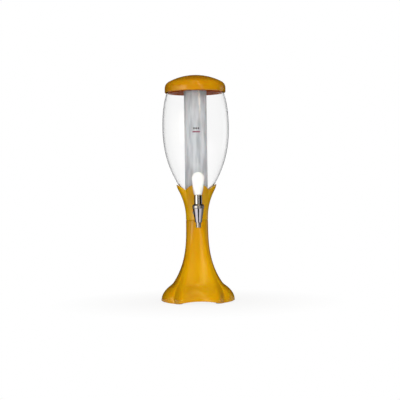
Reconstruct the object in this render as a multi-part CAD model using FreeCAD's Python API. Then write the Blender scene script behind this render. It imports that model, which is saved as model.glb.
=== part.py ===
import FreeCAD, Part
import math
import os

Vector = FreeCAD.Vector
up = Vector(0, 0, 1)
sideways = Vector(1, 0, 0)
backwards = Vector(0, 1, 0)

# All sizes in millimetres. +Z is up from the table, and the tap points to -Y.

# Stand: a flared stem on four rounded lobes, with a groove between each two
stand_height = 166.0
stand_wall = 2.4
neck_radius = 22.4
toe_clearance = 1.0
foot_face_radius = 74.9
foot_groove_radius = 67.5
bulge_height = 36.5
bulge_face_radius = 51.3
bulge_groove_radius = 59.0
bulge_power = 2.45
flare_top = 162.0
flare_power = 3.0
groove_power = 2.2
groove_crease = 27.0
rim_crease = 12.0
rim_height = 10.0
front_arch_rise = 6.2
side_arch_rise = 2.6
arch_half_span = 45.0

# Underside of the stand: plate, screws and feet
plate_height = 7.5
plate_thickness = 2.0
plate_clearance = 0.5
plate_recess_radius = 26.0
plate_recess_depth = 0.8
foot_pad_radius = 8.0
foot_pad_tip_radius = 6.5
foot_pad_gap = 0.8
foot_stud_radius = 2.5
post_radius = 4.2
post_place = 47.0
screw_radius = 1.5
screw_length = 12.0
screw_head_radius = 3.2
screw_head_height = 1.8

# Collar: the petal cup on top of the stem
collar_wall = 2.0
collar_floor = 3.0
collar_flare_start = 4.5
collar_flare_radius = 116.0
lip_start = 61.0
collar_height = 74.0
petal_tip_height = 72.2
petal_valley_height = 60.2
petal_shoulder_height = 66.0
petal_shoulder_place = 9.0
collar_sections = 6
collar_groove_start = 22.0
collar_groove_depth = 4.2
collar_crease_angle = 16.0
spigot_length = 12.0
spigot_clearance = 0.15
seam_chamfer = 0.5
drain_radius = 3.0

# Bottle
bottle_height = 266.0
bottle_wall = 2.0
bottle_clearance = 0.4
belly_radius = 67.3
belly_height = 184.0
throat_height = 27.0
throat_reach = 32.0
belly_reach = 96.0
mouth_radius = 57.6
mouth_length = 7.0
shoulder_reach = 52.0
mouth_reach = 8.0

# Lid: outer dome, inner liner and gasket
lid_wall = 2.2
lid_clearance = 1.9
lid_skirt_drop = 11.0
lid_crown_height = 24.4
lid_crown_radius = 115.0
lid_corner_radius = 14.5
lid_edge_round = 1.6
liner_thickness = 2.0
liner_skirt_depth = 9.5
liner_skirt_wall = 2.0
liner_clearance = 0.7
liner_lid_clearance = 0.35
liner_edge_round = 1.6
gasket_height = 3.0
gasket_groove_depth = 0.7
gasket_gap = 0.3
gasket_drop = 5.5
socket_depth = 6.5
socket_wall = 2.0

# Ice tube, hung from the liner's socket
tube_radius = 22.9
tube_wall = 1.8
tube_length = 211.0
tube_corner_radius = 9.0
tube_socket_clearance = 0.3
tube_seal_thickness = 1.5

# Tap body
tap_reach = 58.0
tap_rise = 16.0
cone_top_radius = 11.0
cone_tip_radius = 6.8
cone_height = 28.1
arm_cover = 1.0
tap_edge_round = 0.6
spout_radius = 4.8
spout_length = 9.9
outlet_radius = 3.4
chamber_radius = 7.0
chamber_depth = 13.5
seat_height = 3.8
bonnet_spigot_radius = 9.4
bonnet_spigot_height = 5.0
arm_radius = 7.0
flange_radius = 9.5
flange_thickness = 3.0
shank_radius = 6.0
shank_overhang = 1.0
shank_bore_radius = 3.8
hole_clearance = 0.2

# Tap mounting
pad_proud = 0.8
washer_radius = 9.0
washer_thickness = 2.0
saddle_rim = 2.4
nut_thickness = 5.0
nut_across_flats = 17.0

# Bonnet
bonnet_radius = 11.7
bonnet_ring_height = 5.2
bonnet_shoulder_height = 3.3
bonnet_shoulder_radius = 9.3
bonnet_groove_width = 0.8
bonnet_groove_depth = 0.5
bonnet_neck_radius = 7.9
bonnet_height = 25.9
bonnet_clearance = 0.1
bonnet_top_wall = 3.0
spring_bore_radius = 5.0
bonnet_seal_thickness = 1.6

# Stem, seat cup and spring
stem_radius = 1.8
stem_clearance = 0.08
stem_shoulder_radius = 4.5
stem_shoulder_thickness = 1.5
stem_shoulder_gap = 0.5
eye_radius = 2.7
eye_width = 4.2
cup_radius = 5.8
cup_height = 7.0
cup_wall = 1.6
spring_radius = 3.8
spring_wire_radius = 0.5
spring_turns = 4.5

# Handle
handle_gap = 0.3
pin_radius = 1.25
pin_clearance = 0.05
pin_length = 14.6
pin_lift = 5.0
handle_foot_radius = 8.2
cam_radius = 2.0
head_radius = 12.7
head_height = 27.8
head_edge_power = 0.6
blade_half_depth = 4.4
blade_waist_height = 13.0
handle_lean = 6.0
slot_clearance = 0.25
handle_swing = 35.0

# Heights and places that follow from the sizes above
seam = stand_height
tap_axis_height = seam + tap_rise
cone_top_height = tap_axis_height + arm_radius + arm_cover
bottle_floor = seam + collar_floor
bottle_rim = bottle_floor + bottle_height
throat_radius = neck_radius - collar_wall - bottle_clearance
throat_inner_radius = throat_radius - bottle_wall
nut_face = math.sqrt(throat_inner_radius ** 2 - washer_radius ** 2) - saddle_rim
shank_end = nut_face - nut_thickness - shank_overhang
lid_inner_radius = mouth_radius + lid_clearance
lid_radius = lid_inner_radius + lid_wall
lid_edge = bottle_rim - lid_skirt_drop
liner_top = bottle_rim + liner_thickness
liner_skirt_radius = mouth_radius - bottle_wall - liner_clearance
tube_top = bottle_rim - tube_seal_thickness
tube_bottom = tube_top - tube_length
cone_bottom = cone_top_height - cone_height
chamber_bottom = cone_top_height - chamber_depth
bonnet_top = cone_top_height + bonnet_height
spring_top = bonnet_top - bonnet_top_wall
body_top = cone_top_height + bonnet_spigot_height
shoulder_height = body_top + bonnet_clearance + stem_shoulder_gap
spring_bottom = shoulder_height + stem_shoulder_thickness
handle_bottom = bonnet_top + handle_gap
pin_height = handle_bottom + pin_lift


def move(shape, x, y, z):
    copy = shape.copy()
    copy.translate(Vector(x, y, z))
    return copy


def rod(radius, length, x=0.0, y=0.0, z=0.0, direction=up):
    return Part.makeCylinder(radius, length, Vector(x, y, z), direction)


def block(size_x, size_y, size_z, x, y, z):
    """Box centred on x and y that stands on z."""
    return Part.makeBox(size_x, size_y, size_z, Vector(x - size_x / 2, y - size_y / 2, z))


def polyline(points):
    """Straight edges through radius and height pairs, as a revolve outline."""
    corners = [Vector(radius, 0, height) for radius, height in points]
    return Part.makePolygon(corners).Edges


def rounded_outline(corners):
    """Closed outline through radius and height corners; a third number rounds that corner."""
    places = [Vector(corner[0], 0, corner[1]) for corner in corners]
    starts = list(places)
    ends = list(places)
    arcs = []
    for index, corner in enumerate(corners):
        if len(corner) == 2:
            continue
        here = places[index]
        to_last = (places[index - 1] - here).normalize()
        to_next = (places[(index + 1) % len(places)] - here).normalize()
        half_angle = to_last.getAngle(to_next) / 2
        reach = corner[2] / math.tan(half_angle)
        starts[index] = here + to_last * reach
        ends[index] = here + to_next * reach
        nearest = (to_last + to_next).normalize() * (corner[2] / math.sin(half_angle) - corner[2])
        arcs.append(Part.Arc(starts[index], here + nearest, ends[index]).toShape())
    return arcs + [Part.makeLine(end, start) for end, start in zip(ends, starts[1:] + starts[:1])]


def turned(edges, y=0.0):
    """Solid turned about the vertical axis from a closed outline in the XZ plane."""
    outline = Part.Wire(Part.__sortEdges__(edges))
    solid = Part.Face(outline).revolve(Vector(0, 0, 0), up, 360)
    return move(solid, 0, y, 0)


def turned_polygon(corners, y=0.0):
    return turned(rounded_outline(corners), y)


def arc_through(start, middle, end):
    return Part.Arc(Vector(start[0], 0, start[1]), Vector(middle[0], 0, middle[1]),
                    Vector(end[0], 0, end[1])).toShape()


def four_ways(radius):
    """Places on the X and Y axes, one over each lobe."""
    return [(radius, 0), (0, radius), (-radius, 0), (0, -radius)]


def four_corners(place):
    """Places on the diagonals, one over each groove."""
    return [(place, place), (-place, place), (-place, -place), (place, -place)]


def lobed_outline(height, face_radius, groove_radius, crease):
    """Four equal lobes on the axes that meet in a groove on each diagonal.

    Each lobe is one smooth curve. The crease is the angle, in degrees, by which
    a lobe turns in at its groove; with none, and equal radii, the outline is round.
    """
    roundness = 1.0976  # draws a quarter of a circle with five poles
    corner = groove_radius * math.cos(math.pi / 4)
    face_pole = face_radius * roundness
    shoulder_x = (16 * face_radius - 2 * corner - 6 * face_pole) / 8
    shoulder_y = corner - (shoulder_x - corner) * math.tan(math.pi / 4 - math.radians(crease))
    lobe = Part.BezierCurve()
    lobe.setPoles([Vector(corner, -corner, height), Vector(shoulder_x, -shoulder_y, height),
                   Vector(face_pole, 0, height), Vector(shoulder_x, shoulder_y, height),
                   Vector(corner, corner, height)])
    edges = []
    for quarter in range(4):
        edge = lobe.toShape()
        edge.rotate(Vector(0, 0, 0), up, 90 * quarter)
        edges.append(edge)
    return Part.Wire(edges)


def lobed_solid(heights, face, groove, crease, inset):
    outlines = [lobed_outline(height, face(height) - inset, groove(height) - inset, crease(height))
                for height in heights]
    return Part.makeLoft(outlines, True, False)


def ramp(value, start, end):
    """Goes from 0 at start to 1 at end, and stays there."""
    return min(1.0, max(0.0, (value - start) / (end - start)))


# ---------------------------------------------------------------- stand

def flared(height, foot_radius, bulge_radius, power):
    """Radius of a bulging toe cap, then of a flare up to the neck."""
    if height <= bulge_height:
        return foot_radius - (foot_radius - bulge_radius) * (height / bulge_height) ** bulge_power
    left = 1 - ramp(height, bulge_height, flare_top)
    return neck_radius + (bulge_radius - neck_radius) * left ** power


def stand_face(height):
    return flared(height, foot_face_radius, bulge_face_radius, flare_power)


def stand_groove(height):
    return flared(height, foot_groove_radius, bulge_groove_radius, groove_power)


def stand_crease(height):
    """The grooves are shallow at the rim, sharp over the toes, and run out at the neck."""
    at_rim = rim_crease + (groove_crease - rim_crease) * ramp(height, 0, rim_height)
    return at_rim * (1 - ramp(height, bulge_height, flare_top))


def stand_loft(inset):
    toe_heights = [toe_clearance, rim_height, (rim_height + bulge_height) / 2, bulge_height]
    shares = (0.0, 0.15, 0.35, 0.6, 1.0)  # closer together where the flare bends most
    stem_heights = [bulge_height + (flare_top - bulge_height) * share for share in shares]
    stem_heights.append(stand_height)
    toes = lobed_solid(toe_heights, stand_face, stand_groove, stand_crease, inset)
    stem = lobed_solid(stem_heights, stand_face, stand_groove, stand_crease, inset)
    return toes.fuse(stem)


def foot_places():
    """The feet stand in the corners of the plate, clear of the wall under each groove."""
    reach = stand_groove(plate_height) - stand_wall - foot_pad_gap - foot_pad_radius
    return four_corners(reach * math.cos(math.pi / 4))


def arch_cutter(rise, direction):
    """A wide cylinder under two opposite lobes lifts their lower edges clear of the table."""
    radius = (arch_half_span ** 2 + rise ** 2) / (2 * rise)
    half_length = direction * (2 * foot_face_radius)
    centre = toe_clearance + rise - radius
    return rod(radius, 4 * foot_face_radius, -half_length.x, -half_length.y, centre, direction)


def plate_posts(solid):
    posts = []
    for x, y in four_ways(post_place):
        post = rod(post_radius, bulge_height * 2, x, y, plate_height + plate_thickness)
        posts.append(post.common(solid))
    return posts


def screw_holes():
    bottom = plate_height + plate_thickness
    return [rod(screw_radius, screw_length, x, y, bottom) for x, y in four_ways(post_place)]


def seam_cutter(bottom, widens_up):
    """Ring that bevels the outer edge of the neck, above or below the seam."""
    narrow = neck_radius - seam_chamfer
    low, high = (narrow, neck_radius) if widens_up else (neck_radius, narrow)
    ring = rod(neck_radius * 2, seam_chamfer, z=bottom)
    return ring.cut(Part.makeCone(low, high, seam_chamfer, Vector(0, 0, bottom)))


def base_shell():
    outside = stand_loft(0)
    shell = outside.cut(stand_loft(stand_wall))
    shell = shell.fuse(plate_posts(outside))
    arches = [arch_cutter(front_arch_rise, backwards), arch_cutter(side_arch_rise, sideways)]
    cutters = arches + screw_holes() + [seam_cutter(stand_height - seam_chamfer, False)]
    return shell.cut(cutters).removeSplitter()


def bottom_plate():
    """Closes the stand from below, and is stiffened by a shallow round recess."""
    inset = stand_wall + plate_clearance
    heights = [plate_height, plate_height + plate_thickness]
    plate = lobed_solid(heights, stand_face, stand_groove, stand_crease, inset)
    recess = rod(plate_recess_radius, plate_recess_depth, z=plate_height)
    holes = [rod(screw_radius + hole_clearance, plate_thickness, x, y, plate_height)
             for x, y in four_ways(post_place)]
    studs = [rod(foot_stud_radius, plate_thickness, x, y, plate_height)
             for x, y in foot_places()]
    return plate.cut([recess] + holes + studs)


def bottom_screws():
    screws = []
    for x, y in four_ways(post_place):
        head = rod(screw_head_radius, screw_head_height, x, y, plate_height - screw_head_height)
        head = head.makeFillet(screw_head_height / 2, [head.Edges[2]])
        shaft = rod(screw_radius, screw_length, x, y, plate_height)
        screws.append(head.fuse(shaft))
    return Part.makeCompound(screws)


def rubber_feet():
    feet = []
    for x, y in foot_places():
        pad = Part.makeCone(foot_pad_tip_radius, foot_pad_radius, plate_height, Vector(x, y, 0))
        stud = rod(foot_stud_radius, plate_thickness, x, y, plate_height)
        feet.append(pad.fuse(stud))
    return Part.makeCompound(feet)


# ---------------------------------------------------------------- collar

def collar_face(height):
    """Radius at the middle of a petal: a hollow flare, then a lip that eases upright."""
    rise = height - seam
    swept = min(max(rise - collar_flare_start, 0.0), lip_start - collar_flare_start)
    depth = math.sqrt(collar_flare_radius ** 2 - swept ** 2)
    radius = neck_radius + collar_flare_radius - depth
    past_lip = rise - lip_start
    if past_lip > 0:
        radius += swept / depth * past_lip * (1 - past_lip / (2 * (collar_height - lip_start)))
    return radius


# The pad for the tap's flange is flat, and stands proud of the flare all round the flange
pad_face = collar_face(tap_axis_height + flange_radius) + pad_proud


def groove_share(height):
    """Nothing at the neck, full at the valley between two petals."""
    return max(0.0, height - seam - collar_groove_start) / (petal_valley_height - collar_groove_start)


def collar_groove(height):
    return collar_face(height) - collar_groove_depth * groove_share(height) ** 2


def collar_crease(height):
    return collar_crease_angle * groove_share(height)


def collar_loft(inset, bottom):
    top = seam + collar_height
    heights = [bottom + (top - bottom) * step / collar_sections for step in range(collar_sections + 1)]
    return lobed_solid(heights, collar_face, collar_groove, collar_crease, inset)


def petal_cutter():
    """All that lies above two neighbouring petals' edges, from tip to valley to tip."""
    reach = foot_face_radius
    tip_place = collar_face(seam + petal_tip_height) * math.sin(math.pi / 4)
    tip = seam + petal_tip_height
    valley = seam + petal_valley_height
    shoulder = seam + petal_shoulder_height
    top = tip + collar_height
    left = arc_through((-tip_place, tip), (-petal_shoulder_place, shoulder), (0, valley))
    right = arc_through((0, valley), (petal_shoulder_place, shoulder), (tip_place, tip))
    frame = polyline([(tip_place, tip), (reach, tip), (reach, top),
                      (-reach, top), (-reach, tip), (-tip_place, tip)])
    face = Part.Face(Part.Wire(Part.__sortEdges__([left, right] + frame)))
    return face.extrude(Vector(0, -reach, 0))


def petal_cutters():
    cutter = petal_cutter()
    cutters = []
    for quarter in range(4):
        turned_cutter = cutter.copy()
        turned_cutter.rotate(Vector(0, 0, 0), up, 45 + 90 * quarter)
        cutters.append(turned_cutter)
    return cutters


def tap_hole():
    """Clearance hole for the tap's shank through the collar and the bottle."""
    return rod(shank_radius + hole_clearance, pad_face, 0, -pad_face, tap_axis_height, backwards)


def petal_collar():
    pad = rod(flange_radius, pad_face, 0, -pad_face, tap_axis_height, backwards)
    spigot_radius = neck_radius - stand_wall - spigot_clearance
    spigot = rod(spigot_radius, spigot_length, z=seam - spigot_length)
    collar = collar_loft(0, seam).fuse([pad, spigot])
    inside = collar_loft(collar_wall, bottle_floor)
    spigot_bore = rod(spigot_radius - collar_wall, spigot_length, z=seam - spigot_length)
    drain = rod(drain_radius, collar_floor, z=seam)
    cutters = [inside, spigot_bore, drain, tap_hole(), seam_cutter(seam, True)] + petal_cutters()
    return collar.cut(cutters).removeSplitter()


# ---------------------------------------------------------------- bottle

def bottle_outline(inset, floor, rim):
    """Half outline: throat, funnel, belly, shoulder and mouth."""
    throat = throat_radius - inset
    belly = belly_radius - inset
    mouth = mouth_radius - inset
    throat_top = bottle_floor + throat_height
    belly_middle = bottle_floor + belly_height
    mouth_bottom = bottle_rim - mouth_length
    funnel = Part.BezierCurve()
    funnel.setPoles([Vector(throat, 0, throat_top), Vector(throat, 0, throat_top + throat_reach),
                     Vector(belly, 0, belly_middle - belly_reach), Vector(belly, 0, belly_middle)])
    shoulder = Part.BezierCurve()
    shoulder.setPoles([Vector(belly, 0, belly_middle), Vector(belly, 0, belly_middle + shoulder_reach),
                       Vector(mouth, 0, mouth_bottom - mouth_reach), Vector(mouth, 0, mouth_bottom)])
    straight = polyline([(mouth, mouth_bottom), (mouth, rim), (0, rim), (0, floor), (throat, floor),
                         (throat, throat_top)])
    return straight + [funnel.toShape(), shoulder.toShape()]


def bottle():
    outside = turned(bottle_outline(0, bottle_floor, bottle_rim))
    inside = turned(bottle_outline(bottle_wall, bottle_floor + bottle_wall, bottle_rim))
    return outside.cut([inside, tap_hole()])


# ---------------------------------------------------------------- lid

def dome_outline(inset, floor, edge_round=0.0):
    """Upright band, round corner and shallow crown, all tangent; the lower edge may be rounded."""
    radius = lid_radius - inset
    crown = lid_crown_radius - inset
    corner = lid_corner_radius - inset
    top = bottle_rim + lid_crown_height - inset
    crown_centre = top - crown
    corner_x = radius - corner
    corner_z = crown_centre + math.sqrt((crown - corner) ** 2 - corner_x ** 2)
    lean = math.atan2(corner_x, corner_z - crown_centre)
    half_lean = (math.pi / 2 + lean) / 2
    meet = (corner_x + corner * math.sin(lean), corner_z + corner * math.cos(lean))
    mid_corner = (corner_x + corner * math.sin(half_lean), corner_z + corner * math.cos(half_lean))
    mid_crown = (crown * math.sin(lean / 2), crown_centre + crown * math.cos(lean / 2))
    arcs = [arc_through((radius, corner_z), mid_corner, meet), arc_through(meet, mid_crown, (0, top))]
    if not edge_round:
        return polyline([(0, top), (0, floor), (radius, floor), (radius, corner_z)]) + arcs
    side_step = edge_round * (1 - math.sin(math.pi / 4))
    arcs.append(arc_through((radius - edge_round, floor), (radius - side_step, floor + side_step),
                            (radius, floor + edge_round)))
    inner = polyline([(0, top), (0, floor), (radius - edge_round, floor)])
    return inner + polyline([(radius, floor + edge_round), (radius, corner_z)]) + arcs


def lid():
    outside = turned(dome_outline(0, lid_edge, lid_edge_round))
    inside = turned(dome_outline(lid_wall, lid_edge))
    return outside.cut(inside)


def lid_liner():
    """Plug that sits in the bottle's mouth, with a socket for the ice tube under it."""
    flange = lid_inner_radius - liner_lid_clearance
    skirt = liner_skirt_radius
    skirt_end = bottle_rim - liner_skirt_depth
    groove_top = bottle_rim - gasket_drop + gasket_height / 2
    groove_bottom = groove_top - gasket_height
    groove = skirt - gasket_groove_depth
    socket_inner = tube_radius + tube_socket_clearance
    socket_outer = socket_inner + socket_wall
    socket_end = bottle_rim - socket_depth
    return turned_polygon([
        (0, liner_top), (flange, liner_top, liner_edge_round), (flange, bottle_rim), (skirt, bottle_rim),
        (skirt, groove_top), (groove, groove_top), (groove, groove_bottom), (skirt, groove_bottom),
        (skirt, skirt_end), (skirt - liner_skirt_wall, skirt_end), (skirt - liner_skirt_wall, bottle_rim),
        (socket_outer, bottle_rim), (socket_outer, socket_end), (socket_inner, socket_end),
        (socket_inner, bottle_rim), (0, bottle_rim)])


def lid_gasket():
    """Soft lip ring in the liner's groove."""
    inner = liner_skirt_radius - gasket_groove_depth
    outer = mouth_radius - bottle_wall - gasket_gap
    middle = bottle_rim - gasket_drop
    top = middle + gasket_height / 2
    bottom = middle - gasket_height / 2
    return turned_polygon([(inner, top), (liner_skirt_radius, top), (outer, middle),
                           (liner_skirt_radius, bottom), (inner, bottom)])


# ---------------------------------------------------------------- ice tube

def tube_body(radius, bottom, corner):
    body = rod(radius, tube_top - bottom, z=bottom)
    return body.makeFillet(corner, [body.Edges[2]])


def ice_tube():
    outside = tube_body(tube_radius, tube_bottom, tube_corner_radius)
    inside = tube_body(tube_radius - tube_wall, tube_bottom + tube_wall, tube_corner_radius - tube_wall)
    return outside.cut(inside)


def tube_seal():
    ring = rod(tube_radius, tube_seal_thickness, z=tube_top)
    return ring.cut(rod(tube_radius - tube_wall, tube_seal_thickness, z=tube_top))


# ---------------------------------------------------------------- tap

def tap_body():
    """Tapered barrel with its spout below and a threaded shank behind."""
    spout_end = cone_bottom - spout_length
    outside = turned_polygon([
        (0, spout_end), (spout_radius, spout_end, tap_edge_round),
        (spout_radius, cone_bottom), (cone_tip_radius, cone_bottom, tap_edge_round),
        (cone_top_radius, cone_top_height, tap_edge_round), (bonnet_spigot_radius, cone_top_height),
        (bonnet_spigot_radius, body_top), (0, body_top)], -tap_reach)
    inside = turned_polygon([
        (0, spout_end), (outlet_radius, spout_end),
        (outlet_radius, chamber_bottom - seat_height), (chamber_radius, chamber_bottom),
        (chamber_radius, body_top), (0, body_top)], -tap_reach)
    flange_back = pad_face + washer_thickness
    arm_start = tap_reach - cone_tip_radius
    arm = rod(arm_radius, arm_start - flange_back, 0, -arm_start, tap_axis_height, backwards)
    flange_front = flange_back + flange_thickness
    flange = rod(flange_radius, flange_thickness, 0, -flange_front, tap_axis_height, backwards)
    shank = rod(shank_radius, flange_back - shank_end, 0, -flange_back, tap_axis_height, backwards)
    bore = rod(shank_bore_radius, tap_reach - shank_end, 0, -tap_reach, tap_axis_height, backwards)
    return outside.fuse([arm, flange, shank]).cut([inside, bore]).removeSplitter()


def tap_washer(face, thickness, radius):
    ring = rod(radius, thickness, 0, -face, tap_axis_height, backwards)
    hole = rod(shank_radius, thickness, 0, -face, tap_axis_height, backwards)
    return ring.cut(hole)


def front_washer():
    return tap_washer(pad_face + washer_thickness, washer_thickness, washer_radius)


def back_washer():
    """Saddle washer: flat against the nut, round against the inside of the bottle's throat."""
    ring = tap_washer(throat_inner_radius, throat_inner_radius - nut_face, washer_radius)
    return ring.common(rod(throat_inner_radius, bottle_height, z=bottle_floor))


def shank_nut():
    corner = nut_across_flats / 2 / math.cos(math.pi / 6)
    corners = [Vector(corner * math.cos(step * math.pi / 3), -nut_face,
                      tap_axis_height + corner * math.sin(step * math.pi / 3)) for step in range(7)]
    body = Part.Face(Part.makePolygon(corners)).extrude(Vector(0, nut_thickness, 0))
    return body.cut(rod(shank_radius, nut_thickness, 0, -nut_face, tap_axis_height, backwards))


def tap_bonnet():
    """Screw ring and upright neck in one turning; the stem comes out of its top."""
    ring_top = cone_top_height + bonnet_ring_height
    shoulder_top = ring_top + bonnet_shoulder_height
    groove_middle = cone_top_height + bonnet_ring_height / 2
    groove_top = groove_middle + bonnet_groove_width / 2
    groove_bottom = groove_middle - bonnet_groove_width / 2
    groove = bonnet_radius - bonnet_groove_depth
    ring_bore = bonnet_spigot_radius + bonnet_clearance
    stem_bore = stem_radius + stem_clearance
    outside = turned_polygon([
        (0, cone_top_height), (bonnet_radius, cone_top_height, tap_edge_round),
        (bonnet_radius, groove_bottom), (groove, groove_bottom), (groove, groove_top),
        (bonnet_radius, groove_top), (bonnet_radius, ring_top, tap_edge_round),
        (bonnet_shoulder_radius, shoulder_top, tap_edge_round), (bonnet_neck_radius, shoulder_top),
        (bonnet_neck_radius, bonnet_top, tap_edge_round), (0, bonnet_top)], -tap_reach)
    inside = turned_polygon([
        (0, cone_top_height), (ring_bore, cone_top_height), (ring_bore, body_top + bonnet_clearance),
        (spring_bore_radius, body_top + bonnet_clearance), (spring_bore_radius, spring_top),
        (stem_bore, spring_top), (stem_bore, bonnet_top), (0, bonnet_top)], -tap_reach)
    return outside.cut(inside)


def bonnet_seal():
    """Soft disc in the top of the chamber that keeps the drink out of the bonnet."""
    bottom = body_top - bonnet_seal_thickness
    disc = rod(chamber_radius, bonnet_seal_thickness, 0, -tap_reach, bottom)
    return disc.cut(rod(stem_radius + stem_clearance, bonnet_seal_thickness, 0, -tap_reach, bottom))


def tap_stem():
    cup_bottom = chamber_bottom
    shaft = rod(stem_radius, pin_height - cup_bottom, 0, -tap_reach, cup_bottom)
    shoulder = rod(stem_shoulder_radius, stem_shoulder_thickness, 0, -tap_reach, shoulder_height)
    eye = rod(eye_radius, eye_width, -eye_width / 2, -tap_reach, pin_height, sideways)
    hole = rod(pin_radius + pin_clearance, eye_width, -eye_width / 2, -tap_reach, pin_height, sideways)
    return shaft.fuse([shoulder, eye]).cut(hole)


def seat_cup():
    """Silicone plug on the foot of the stem; its cone rests in the seat of the chamber."""
    seat_slope = (chamber_radius - outlet_radius) / seat_height
    touch = chamber_bottom - (chamber_radius - cup_radius) / seat_slope
    nose = outlet_radius - cup_wall
    nose_height = touch - (cup_radius - nose) / seat_slope
    plug = turned_polygon([(0, nose_height), (nose, nose_height), (cup_radius, touch),
                           (cup_radius, touch + cup_height), (0, touch + cup_height)], -tap_reach)
    return plug.cut(rod(stem_radius, cup_height * 2, 0, -tap_reach, chamber_bottom))


def tap_spring():
    coil_bottom = spring_bottom + spring_wire_radius
    coil_height = spring_top - spring_wire_radius - coil_bottom
    pitch = coil_height / spring_turns
    path = Part.Wire(Part.makeHelix(pitch, coil_height, spring_radius))
    along_wire = Vector(0, 2 * math.pi * spring_radius, pitch)
    section = Part.Circle(Vector(spring_radius, 0, 0), along_wire, spring_wire_radius)
    coil = path.makePipe(Part.Face(Part.Wire(section.toShape())))
    return move(coil, 0, -tap_reach, coil_bottom)


def handle_section(rise, half_width, half_depth):
    """Oval section of the handle, leaning forwards with height above the pin."""
    steps = 12
    centre = Vector(0, -tap_reach - max(0.0, rise) * math.tan(math.radians(handle_lean)), pin_height + rise)
    points = []
    for step in range(steps):
        angle = 2 * math.pi * step / steps
        points.append(centre + Vector(half_width * math.cos(angle), half_depth * math.sin(angle), 0))
    oval = Part.BSplineCurve()
    oval.interpolate(points, PeriodicFlag=True)
    return Part.Wire(oval.toShape())


def handle_blade():
    """Round foot, waist and a flat round head, lofted through ovals."""
    taper = math.tan(math.asin((head_radius - handle_foot_radius) / (head_height + pin_lift)))
    sections = [
        handle_section(-pin_lift, handle_foot_radius, handle_foot_radius),
        handle_section(0.0, handle_foot_radius + pin_lift * taper, handle_foot_radius),
        handle_section(blade_waist_height, handle_foot_radius + (blade_waist_height + pin_lift) * taper,
                       blade_half_depth)]
    head_angles = (-15, 15, 40, 60, 75, 84)  # round the head, closer together towards its top
    for angle in map(math.radians, head_angles):
        sections.append(handle_section(head_height + head_radius * math.sin(angle),
                                       head_radius * math.cos(angle),
                                       blade_half_depth * math.cos(angle) ** head_edge_power))
    return Part.makeLoft(sections, True, False)


def tap_handle():
    blade = handle_blade()
    bottom_edges = [edge for edge in blade.Edges if edge.BoundBox.ZMax < handle_bottom + 0.01]
    blade = blade.makeFillet(cam_radius, bottom_edges)
    swing = math.radians(handle_swing)
    front = pin_lift * math.tan(swing) + stem_radius / math.cos(swing) + slot_clearance
    back = eye_radius + slot_clearance
    slot_top = pin_height + eye_radius + slot_clearance
    slot_width = eye_width + 2 * slot_clearance
    slot = block(slot_width, front + back, slot_top - handle_bottom,
                 0, -tap_reach + (back - front) / 2, handle_bottom)
    hole = rod(pin_radius, 4 * handle_foot_radius, -2 * handle_foot_radius, -tap_reach, pin_height, sideways)
    return blade.cut([slot, hole])


def handle_pin():
    return rod(pin_radius, pin_length, -pin_length / 2, -tap_reach, pin_height, sideways)


nodes = {
    "base_shell": base_shell,
    "bottom_plate": bottom_plate,
    "bottom_screws": bottom_screws,
    "rubber_feet": rubber_feet,
    "petal_collar": petal_collar,
    "bottle": bottle,
    "lid": lid,
    "lid_liner": lid_liner,
    "lid_gasket": lid_gasket,
    "ice_tube": ice_tube,
    "tube_seal": tube_seal,
    "tap_body": tap_body,
    "front_washer": front_washer,
    "back_washer": back_washer,
    "shank_nut": shank_nut,
    "tap_bonnet": tap_bonnet,
    "bonnet_seal": bonnet_seal,
    "tap_stem": tap_stem,
    "seat_cup": seat_cup,
    "tap_spring": tap_spring,
    "tap_handle": tap_handle,
    "handle_pin": handle_pin,
}

os.makedirs("parts", exist_ok=True)
for name, make in nodes.items():
    shape = make()
    print(name, len(shape.Solids), "solids", round(shape.Volume), "mm3", shape.isValid())
    shape.exportStep("parts/" + name + ".step")
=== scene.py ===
import bpy
import math
from mathutils import Matrix, Vector


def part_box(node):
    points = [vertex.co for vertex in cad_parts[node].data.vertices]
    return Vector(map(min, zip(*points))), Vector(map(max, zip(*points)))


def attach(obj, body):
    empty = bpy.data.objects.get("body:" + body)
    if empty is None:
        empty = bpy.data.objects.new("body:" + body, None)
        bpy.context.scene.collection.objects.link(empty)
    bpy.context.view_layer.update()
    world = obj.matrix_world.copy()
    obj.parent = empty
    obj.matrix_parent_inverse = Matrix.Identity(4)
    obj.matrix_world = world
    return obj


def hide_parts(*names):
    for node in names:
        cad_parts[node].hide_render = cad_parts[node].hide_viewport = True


# Drink tower: amber stand and petal collar, clear bottle with an ice tube, domed lid, lever tap.
# Metres throughout; mm turns a real size into metres. The tap points to -Y.

mm = 0.001
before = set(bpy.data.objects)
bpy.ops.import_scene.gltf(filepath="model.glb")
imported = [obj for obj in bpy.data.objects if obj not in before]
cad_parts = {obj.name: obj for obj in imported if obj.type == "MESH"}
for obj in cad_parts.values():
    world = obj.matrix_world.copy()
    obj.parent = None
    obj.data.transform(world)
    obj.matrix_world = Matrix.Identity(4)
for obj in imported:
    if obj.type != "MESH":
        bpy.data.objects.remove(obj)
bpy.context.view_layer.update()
print("frame loaded:", len(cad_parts), "nodes")


# Shader helpers

def linear(code):
    # sRGB hex to the linear colour that sockets take
    shares = [int(code[start:start + 2], 16) / 255 for start in (1, 3, 5)]
    return tuple(s / 12.92 if s <= 0.04045 else ((s + 0.055) / 1.055) ** 2.4 for s in shares) + (1.0,)


def addNode(tree, kind, settings=(), links=()):
    # settings and links are pairs of name or number and value; "ramp" takes (place, hex) stops
    node = tree.nodes.new("ShaderNode" + kind)
    for key, value in settings:
        if key == "ramp":
            stops = node.color_ramp.elements
            while len(stops) < len(value):
                stops.new(0.5)
            for stop, (place, code) in zip(stops, value):
                stop.position = place
                stop.color = linear(code)
        elif isinstance(key, int) or key in node.inputs:
            node.inputs[key].default_value = value
        else:
            setattr(node, key, value)
    for key, socket in links:
        tree.links.new(socket, node.inputs[key])
    return node


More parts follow.
